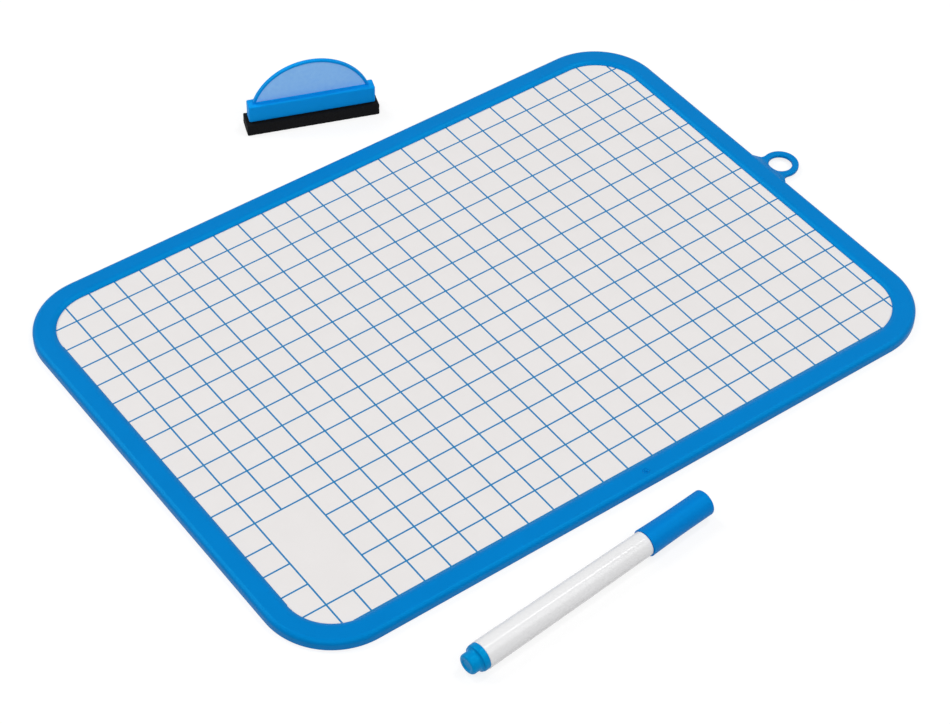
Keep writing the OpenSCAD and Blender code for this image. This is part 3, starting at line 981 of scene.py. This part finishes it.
def foam_grid():
    """The foam strip: a rounded block whose cut faces wander by sums of sines over a few millimetres. The
    underside stays flat on the table, and the top stays under the tape."""
    x, y, z = rounded_block(
        FOAM_L, FOAM_W, FOAM_H, FOAM_EDGE_R, FOAM_EDGE_R, FOAM_STEPS, FOAM_SIDE_STEPS
    )
    x = np.broadcast_to(x, y.shape)
    wander = sum(
        height * np.sin(turn_x * x + turn_y * y + turn_z * z + start)
        for height, (turn_x, turn_y, turn_z), start in FOAM_WAVES
    )
    highest = sum(wave[0] for wave in FOAM_WAVES)
    cut_in = FOAM_ROUGH * (1 + wander / highest)
    free = np.abs(y) / (FOAM_W / 2)
    pull = 1 - cut_in / (FOAM_W / 2) * ease(FOAM_CALM, FOAM_FREE, free)
    end_pull = 1 - cut_in / (FOAM_L / 2)
    return on_eraser(x * end_pull, y * pull, z + FOAM_H / 2)


# Board
make_piece(
    "rim_moulding", "board", ["rim"],
    [(rim_surface(), CLOSED, CLOSED, 0), (loop_surface(), CLOSED, CLOSED, 0)], [RIM_PLASTIC],
)
upright, level = print_lines()
ink_patches = [
    (box, OPEN, CLOSED, 0)
    for strips, top in ((upright, SHEET_Z + INK_T), (level, SHEET_Z + INK_T - INK_STEP))
    for box in strip_boxes(*strips, top)
]
make_piece("printed_squares", "board", [], ink_patches, [INK])

# Marker
make_piece(
    "marker_tube", "marker", ["marker_barrel"],
    [(turned(barrel_profile()), OPEN, CLOSED, 0)], [BARREL_PLASTIC],
)
make_piece(
    "marker_tail_plug", "marker", ["marker_end_plug"],
    [(turned(plug_profile()), OPEN, CLOSED, 0)], [PLUG_PLASTIC],
)
make_piece(
    "marker_fibre_nib", "marker", ["marker_nib"],
    [(turned(nib_profile(), NIB_STEPS), OPEN, CLOSED, 0)], [NIB_FIBRE],
)
make_piece(
    "marker_push_cap", "cap", ["marker_cap"],
    [(turned(cap_profile()), OPEN, CLOSED, 0)], [CAP_PLASTIC],
)

# Eraser
bar_x, bar_y, bar_z = rounded_block(
    BAR_L, BAR_W, BAR_H, BAR_EDGE_R, BAR_END_R, BAR_STEPS, BAR_SIDE_STEPS
)
bar = on_eraser(bar_x, bar_y, bar_z + BAR_Z + BAR_H / 2)
make_piece(
    "eraser_grip", "eraser", ["eraser_handle"],
    [
        (bar, OPEN, CLOSED, 0),
        *moon_patches(),
        (web_fillet(-1), OPEN, CLOSED, 0),
        (web_fillet(1), OPEN, CLOSED, 0),
    ],
    [HANDLE_PLASTIC, WEB_PLASTIC],
)
foam = make_piece(
    "eraser_foam_strip", "eraser", ["eraser_foam"], [(foam_grid(), OPEN, CLOSED, 0)], [FOAM]
)

# Pieces that keep their CAD meshes
for node_name, node_material in (
    ("writing_sheet", SHEET_FILM),
    ("core_board", GREYBOARD),
    ("backing_sheet", BACKING_PAPER),
    ("ink_reservoir", INKED_FIBRE),
    ("reservoir_film", CLEAR_FILM),
    ("foam_tape", TAPE),
):
    slots = frame["nodes"][node_name].data.materials
    slots.clear()
    slots.append(node_material)

# Stage: a white floor that keeps the shadows, its sizes in millimetres, and white surroundings. Where
# the floor is seen, its white is its own glow and a shaded part. It throws light on as a pale grey does.
WHITE = (1.0, 1.0, 1.0, 1.0)
FLOOR_DROP = 0.02
FLOOR_HALF = 4000.0
FLOOR_OWN_WHITE = 0.77
FLOOR_SHADE = (0.25, 0.25, 0.25, 1.0)
FLOOR_BOUNCE = (0.6, 0.6, 0.6, 1.0)
WORLD_LIGHT = 0.17

# Lamps: heading and height in degrees, size in metres and power in watts, all at one distance in metres.
# A wide lamp stands over the viewer, and one on each side lights the rim's rounded edges. The narrow
# strips draw highlights: the overhead one along the marker, the back one on the inner slope of the rim's
# side with the loop.
LAMP_DISTANCE = 2.0
LAMPS = (
    ("viewer softbox", -127, 46, (2.4, 2.0), 21.5),
    ("right softbox", -49, 44, (0.9, 0.9), 8.5),
    ("left softbox", 138, 33, (0.8, 0.8), 10.0),
    ("overhead strip", 0, 65, (0.06, 0.6), 8.0),
    ("back strip", 107, 55, (0.06, 0.6), 8.0),
)


def seen_directly(tree):
    """1 for camera, glossy and transmitted rays, and 0 for the rays that only carry light."""
    path = add(tree, "ShaderNodeLightPath").outputs
    either = add(
        tree, "ShaderNodeMath", {0: path["Is Camera Ray"], 1: path["Is Glossy Ray"]}, operation="MAXIMUM"
    ).outputs[0]
    return add(
        tree, "ShaderNodeMath", {0: either, 1: path["Is Transmission Ray"]}, operation="MAXIMUM"
    ).outputs[0]


def white_floor():
    """Matt white paper sweep: rays that see it get its glow and shaded part, the others its bounce."""
    material = bpy.data.materials.new("matt white paper sweep")
    tree = empty_tree(material)
    shaded = add(tree, "ShaderNodeBsdfDiffuse", {"Color": FLOOR_SHADE}).outputs[0]
    glow = add(tree, "ShaderNodeEmission", {"Color": WHITE, "Strength": FLOOR_OWN_WHITE}).outputs[0]
    seen = add(tree, "ShaderNodeAddShader", {0: shaded, 1: glow}).outputs[0]
    bounce = add(tree, "ShaderNodeBsdfDiffuse", {"Color": FLOOR_BOUNCE}).outputs[0]
    shader = add(tree, "ShaderNodeMixShader", {0: seen_directly(tree), 1: bounce, 2: seen})
    return close_material(material, tree, shader)


floor_signs = ((-1, -1), (1, -1), (1, 1), (-1, 1))
floor_corners = [(x * FLOOR_HALF * MM, y * FLOOR_HALF * MM, -FLOOR_DROP * MM) for x, y in floor_signs]
floor_mesh = bpy.data.meshes.new("floor")
floor_mesh.from_pydata(floor_corners, [], [(0, 1, 2, 3)])
floor_mesh.materials.append(white_floor())
floor = bpy.data.objects.new("floor", floor_mesh)
bpy.context.scene.collection.objects.link(floor)

world = bpy.data.worlds.new("white surroundings")
bpy.context.scene.world = world
world_tree = empty_tree(world)
soft_fill = add(world_tree, "ShaderNodeBackground", {"Color": WHITE, "Strength": WORLD_LIGHT}).outputs[0]
plain_white = add(world_tree, "ShaderNodeBackground", {"Color": WHITE, "Strength": 1.0}).outputs[0]
surroundings = add(
    world_tree, "ShaderNodeMixShader", {0: seen_directly(world_tree), 1: soft_fill, 2: plain_white}
)
add(world_tree, "ShaderNodeOutputWorld", {"Surface": surroundings.outputs[0]})

# Each lamp looks at the origin: lifted by its distance, tipped to its height and swung to its heading
for lamp_name, heading, height, size, power in LAMPS:
    lamp = bpy.data.lights.new(lamp_name, "AREA")
    lamp.shape = "RECTANGLE"
    lamp.size, lamp.size_y = size
    lamp.energy = power
    lamp_object = bpy.data.objects.new(lamp_name, lamp)
    swing = Matrix.Rotation(math.radians(heading + 90), 4, "Z")
    tip = Matrix.Rotation(math.radians(90 - height), 4, "X")
    lamp_object.matrix_world = swing @ tip @ Matrix.Translation((0, 0, LAMP_DISTANCE))
    bpy.context.scene.collection.objects.link(lamp_object)

# Camera at the photograph's place: back from its target by azimuth and elevation, then rolled
azimuth, elevation, roll = np.radians([VIEW_AZIMUTH, VIEW_ELEVATION, VIEW_ROLL])
back = np.array(
    [
        math.sin(azimuth) * math.cos(elevation),
        -math.cos(azimuth) * math.cos(elevation),
        math.sin(elevation),
    ]
)
level_right = np.cross(Z_AXIS, back) / np.linalg.norm(np.cross(Z_AXIS, back))
level_up = np.cross(back, level_right)
right = math.cos(roll) * level_right + math.sin(roll) * level_up
up = math.cos(roll) * level_up - math.sin(roll) * level_right
place = (np.array([*VIEW_TARGET, SHEET_Z]) + VIEW_DISTANCE * back) * MM
camera_data = bpy.data.cameras.new("photograph")
camera_data.sensor_fit = "HORIZONTAL"
camera_data.sensor_width = SENSOR_W
camera_data.lens = FOCAL_PX * SENSOR_W / IMAGE_W
camera_data.clip_start = CLIP_NEAR
camera_data.clip_end = CLIP_FAR
camera = bpy.data.objects.new("photograph", camera_data)
stance = np.eye(4)
stance[:3] = np.stack([right, up, back, place], axis=1)
camera.matrix_world = Matrix(stance.tolist())
bpy.context.scene.collection.objects.link(camera)
bpy.context.scene.camera = camera
bpy.context.scene.view_settings.view_transform = "Standard"
